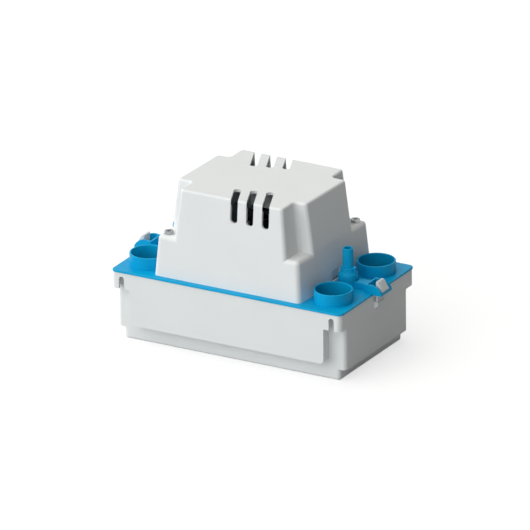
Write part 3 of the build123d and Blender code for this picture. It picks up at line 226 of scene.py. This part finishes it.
# The domed foot: how far it has drawn in from the foot's radius, and at what height.
OUTLET_DOME = ((0.0, 1.4), (0.5, 2.6), (0.9, 5.0), (1.2, 8.0), (1.5, 11.0), (1.9, 12.8), (2.6, 13.7))
FIN_REACH = 9.0
FIN_WIDTH = 3.0
FIN_ROUND = 0.45
FIN_ROUND_STEPS = 3
FIN_BELOW_RING = 0.4
FIN_ABOVE_RING = 0.8
FIN_ROOT = 0.8
NIB_R = 1.6
NIB_HEIGHT = 4.0
NIB_SIDE = -1.5
NIB_SINK = 1.9
NIB_SEGMENTS = 20
NIB_RINGS = 12
RIB_COUNT = 6
RIB_R = 0.42
RIB_SINK = 0.12
RIB_MARGIN = 1.0
RIB_SEGMENTS = 16
RIB_END_ROUND = 0.6 * RIB_R
RIB_END_STEPS = 2
LATCH_THICKNESS = 2.3
LATCH_NOSE = 1.2
LATCH_CATCH_RISE = 1.3
SHARP_ANGLE = math.radians(38)
RIM_ANGLE = math.radians(60)
WELD_GAP = 0.001


def finish_piece(name, shape, material, body):
    """Turn a bmesh given in millimetres into a smooth-shaded piece that rides on a body."""
    bmesh.ops.remove_doubles(shape, verts=shape.verts, dist=WELD_GAP)
    bmesh.ops.scale(shape, vec=(MM, MM, MM), verts=shape.verts)
    bmesh.ops.recalc_face_normals(shape, faces=shape.faces)
    for face in shape.faces:
        face.smooth = True
    for edge in shape.edges:
        edge.smooth = edge.calc_face_angle(0.0) < SHARP_ANGLE
    mesh = bpy.data.meshes.new(name)
    shape.to_mesh(mesh)
    shape.free()
    mesh.materials.append(material)
    piece = bpy.data.objects.new(name, mesh)
    bpy.context.scene.collection.objects.link(piece)
    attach(piece, body)
    return piece


def edges_of(shape, corners):
    """The edges that join these corners to each other."""
    own = set(corners)
    return [edge for edge in shape.edges if own.issuperset(edge.verts)]


def round_edges(shape, edges, radius, steps):
    """Round these edges off."""
    bmesh.ops.bevel(
        shape, geom=edges, offset=radius, affect="EDGES", segments=steps, profile=0.5, material=-1
    )


def outlet_fitting():
    """The discharge fitting: a turned spigot, domed foot, ring and stem, with its fin and nib."""
    low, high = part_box("outlet_adaptor")
    middle_x = (low[0] + OUTLET_FOOT_R * MM) / MM
    bottom = low[2] / MM - DECK_TOP
    top = high[2] / MM - DECK_TOP
    outline = (
        (OUTLET_BORE_R, bottom),
        (OUTLET_SPIGOT_R, bottom),
        (OUTLET_SPIGOT_R, 0.0),
        (OUTLET_FOOT_R, 0.0),
        *((OUTLET_FOOT_R - inset, height) for inset, height in OUTLET_DOME),
        (OUTLET_RING_R + OUTLET_RING_FLARE, OUTLET_RING_Z - OUTLET_RING_DROP),
        (OUTLET_RING_R, OUTLET_RING_Z),
        (OUTLET_RING_R, OUTLET_RING_TOP_Z - OUTLET_LIP),
        (OUTLET_RING_R - OUTLET_LIP, OUTLET_RING_TOP_Z),
        (OUTLET_STEM_R, OUTLET_RING_TOP_Z + OUTLET_RING_SHED),
        (OUTLET_STEM_R, top - OUTLET_LIP),
        (OUTLET_STEM_R - OUTLET_LIP, top),
        (OUTLET_BORE_R + OUTLET_LIP, top),
        (OUTLET_BORE_R, top - OUTLET_LIP),
    )
    shape = bmesh.new()
    corners = [shape.verts.new((radius, 0.0, height)) for radius, height in outline]
    loop = [shape.edges.new(pair) for pair in zip(corners, corners[1:] + corners[:1])]
    bmesh.ops.spin(
        shape,
        geom=corners + loop,
        cent=(0.0, 0.0, 0.0),
        axis=(0.0, 0.0, 1.0),
        angle=math.tau,
        steps=OUTLET_STEPS,
        use_merge=True,
    )
    fin_low = OUTLET_RING_Z - FIN_BELOW_RING
    fin_high = OUTLET_RING_TOP_Z + FIN_ABOVE_RING
    fin_start = OUTLET_STEM_R - FIN_ROOT
    place = Matrix.Translation(((FIN_REACH + fin_start) / 2, 0.0, (fin_low + fin_high) / 2))
    size = Matrix.Diagonal((FIN_REACH - fin_start, FIN_WIDTH, fin_high - fin_low, 1.0))
    fin = bmesh.ops.create_cube(shape, size=1.0, matrix=place @ size)["verts"]
    round_edges(shape, edges_of(shape, fin), FIN_ROUND, FIN_ROUND_STEPS)
    nib_place = Matrix.Translation((NIB_SIDE, NIB_SINK - OUTLET_FOOT_R, NIB_HEIGHT))
    bmesh.ops.create_uvsphere(
        shape, u_segments=NIB_SEGMENTS, v_segments=NIB_RINGS, radius=NIB_R, matrix=nib_place
    )
    bmesh.ops.translate(shape, vec=(middle_x, 0.0, DECK_TOP), verts=shape.verts)
    piece = finish_piece("outlet_fitting", shape, deck_finish, "housing")
    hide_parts("outlet_adaptor")


def latch_grip(side, node, body):
    """Thumb ribs across the sloping face of a snap hook's head."""
    low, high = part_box(node)
    reach = max(abs(low[0]), abs(high[0])) / MM
    outer = min(abs(low[0]), abs(high[0])) / MM + LATCH_THICKNESS
    half_width = high[1] / MM
    head = Vector((outer, 0.0, high[2] / MM))
    nose = Vector((reach, 0.0, DECK_TOP + LATCH_CATCH_RISE + LATCH_NOSE))
    slope = nose - head
    outward = Vector((-slope.z, 0.0, slope.x)).normalized()
    shape = bmesh.new()
    along_y = Matrix.Rotation(math.radians(90), 4, "X")
    for index in range(RIB_COUNT):
        spot = head + slope * ((index + 1) / (RIB_COUNT + 1)) - outward * RIB_SINK
        rib = bmesh.ops.create_cone(
            shape,
            cap_ends=True,
            segments=RIB_SEGMENTS,
            radius1=RIB_R,
            radius2=RIB_R,
            depth=2 * (half_width - RIB_MARGIN),
            matrix=Matrix.Translation(spot) @ along_y,
        )["verts"]
        rims = [edge for edge in edges_of(shape, rib) if abs(edge.calc_face_angle(0.0)) > RIM_ANGLE]
        round_edges(shape, rims, RIB_END_ROUND, RIB_END_STEPS)
    if side < 0:
        bmesh.ops.scale(shape, vec=(-1.0, 1.0, 1.0), verts=shape.verts)
        bmesh.ops.reverse_faces(shape, faces=shape.faces)
    finish_piece(f"{node}_grip", shape, hook_finish, body)


outlet_fitting()
latch_grip(1, "hook_right", "hook_r")
latch_grip(-1, "hook_left", "hook_l")


# ---------------------------------------------------------------- floor, light, camera
def seen_directly(nodes, links):
    """One for what the camera sees, straight or by gloss or through glass, and nothing for other light."""
    path = nodes.new("ShaderNodeLightPath")
    total = path.outputs["Is Camera Ray"]
    for kind in ("Is Glossy Ray", "Is Transmission Ray"):
        either = nodes.new("ShaderNodeMath")
        either.operation = "MAXIMUM"
        links.new(total, either.inputs[0])
        links.new(path.outputs[kind], either.inputs[1])
        total = either.outputs[0]
    return total


def floor():
    """A wide pale floor that reads white to the camera and keeps the shadow."""
    mesh = bpy.data.meshes.new("floor")
    shape = bmesh.new()
    bmesh.ops.create_grid(shape, x_segments=1, y_segments=1, size=FLOOR_HALF)
    shape.to_mesh(mesh)
    shape.free()
    plane = bpy.data.objects.new("floor", mesh)
    bpy.context.scene.collection.objects.link(plane)
    material = bpy.data.materials.new("floor_white")
    material.use_nodes = True
    nodes = material.node_tree.nodes
    links = material.node_tree.links
    nodes.clear()
    out = nodes.new("ShaderNodeOutputMaterial")
    pale = nodes.new("ShaderNodeBsdfDiffuse")
    pale.inputs["Color"].default_value = (FLOOR_PALE, FLOOR_PALE, FLOOR_PALE, 1.0)
    bounce = nodes.new("ShaderNodeBsdfDiffuse")
    bounce.inputs["Color"].default_value = (FLOOR_BOUNCE, FLOOR_BOUNCE, FLOOR_BOUNCE, 1.0)
    glow = nodes.new("ShaderNodeEmission")
    glow.inputs["Strength"].default_value = FLOOR_GLOW
    both = nodes.new("ShaderNodeAddShader")
    choose = nodes.new("ShaderNodeMixShader")
    links.new(pale.outputs[0], both.inputs[0])
    links.new(glow.outputs[0], both.inputs[1])
    links.new(seen_directly(nodes, links), choose.inputs[0])
    links.new(bounce.outputs[0], choose.inputs[1])
    links.new(both.outputs[0], choose.inputs[2])
    links.new(choose.outputs[0], out.inputs["Surface"])
    mesh.materials.append(material)


def world():
    """A soft studio round the object, bright above and in front, dim on its right, with no bright corner.

    The strength is a level that leans to the left, the front and the top. The gap takes some away
    half way up the front, so that rounded edges there stay no brighter than the faces beside them.
    """
    scene_world = bpy.data.worlds.new("studio")
    bpy.context.scene.world = scene_world
    scene_world.use_nodes = True
    nodes = scene_world.node_tree.nodes
    links = scene_world.node_tree.links
    nodes.clear()

    def maths(operation, first, second):
        node = nodes.new("ShaderNodeMath")
        node.operation = operation
        for socket, value in zip(node.inputs, (first, second)):
            if isinstance(value, float):
                socket.default_value = value
            else:
                links.new(value, socket)
        return node.outputs[0]

    way = nodes.new("ShaderNodeTexCoord").outputs["Generated"]
    parts = nodes.new("ShaderNodeSeparateXYZ")
    links.new(way, parts.inputs[0])
    across, along, up = parts.outputs["X"], parts.outputs["Y"], parts.outputs["Z"]
    side = maths("MULTIPLY", maths("MAXIMUM", across, -STUDIO_SIDE_REACH), STUDIO_LEAN[0])
    level = maths("ADD", side, STUDIO_BASE)
    level = maths("ADD", level, maths("MULTIPLY", along, STUDIO_LEAN[1]))
    level = maths("ADD", level, maths("MULTIPLY", up, STUDIO_LEAN[2]))
    level = maths("ADD", level, maths("MULTIPLY", up, maths("MULTIPLY", along, STUDIO_GAP)))
    tint = nodes.new("ShaderNodeMix")
    tint.data_type = "RGBA"
    tint.inputs["A"].default_value = FRONT_TINT
    tint.inputs["B"].default_value = OVERHEAD_TINT
    links.new(up, tint.inputs["Factor"])
    out = nodes.new("ShaderNodeOutputWorld")
    fill = nodes.new("ShaderNodeBackground")
    links.new(tint.outputs["Result"], fill.inputs["Color"])
    links.new(maths("MAXIMUM", level, STUDIO_LEAST), fill.inputs["Strength"])
    white = nodes.new("ShaderNodeBackground")
    white.inputs["Color"].default_value = (1.0, 1.0, 1.0, 1.0)
    white.inputs["Strength"].default_value = 1.0
    choose = nodes.new("ShaderNodeMixShader")
    links.new(seen_directly(nodes, links), choose.inputs[0])
    links.new(fill.outputs[0], choose.inputs[1])
    links.new(white.outputs[0], choose.inputs[2])
    links.new(choose.outputs[0], out.inputs["Surface"])


def key_light():
    """One large softbox from the front left."""
    lamp = bpy.data.lights.new("key", "AREA")
    lamp.shape = "DISK"
    lamp.size = KEY_SIZE
    lamp.energy = KEY_POWER
    holder = bpy.data.objects.new("key", lamp)
    aim = Vector((0.0, 0.0, AIM_HEIGHT))
    holder.location = aim + KEY_FROM.normalized() * KEY_DISTANCE
    holder.rotation_euler = (aim - holder.location).to_track_quat("-Z", "Y").to_euler()
    bpy.context.scene.collection.objects.link(holder)


def camera():
    """A long lens at the product's three-quarter view."""
    azimuth = math.radians(VIEW_AZIMUTH)
    elevation = math.radians(VIEW_ELEVATION)
    right = Vector((math.cos(azimuth), math.sin(azimuth), 0.0))
    back = Vector(
        (
            math.sin(azimuth) * math.cos(elevation),
            -math.cos(azimuth) * math.cos(elevation),
            math.sin(elevation),
        )
    )
    up = back.cross(right)
    roll = Matrix.Rotation(math.radians(-VIEW_ROLL), 3, back)
    right = roll @ right
    up = roll @ up
    aim = Vector((0.0, 0.0, AIM_HEIGHT)) + right * AIM_RIGHT + up * AIM_UP
    lens = bpy.data.cameras.new("camera")
    lens.lens = LENS
    lens.sensor_width = SENSOR
    lens.clip_end = SIGHT_LIMIT
    holder = bpy.data.objects.new("camera", lens)
    turn = Matrix((right, up, back)).transposed()
    place = aim + back * (FRAME_WIDTH * LENS / SENSOR)
    holder.matrix_world = Matrix.Translation(place) @ turn.to_4x4()
    bpy.context.scene.collection.objects.link(holder)
    bpy.context.scene.camera = holder


floor()
world()
key_light()
camera()
bpy.context.scene.view_settings.view_transform = "Standard"
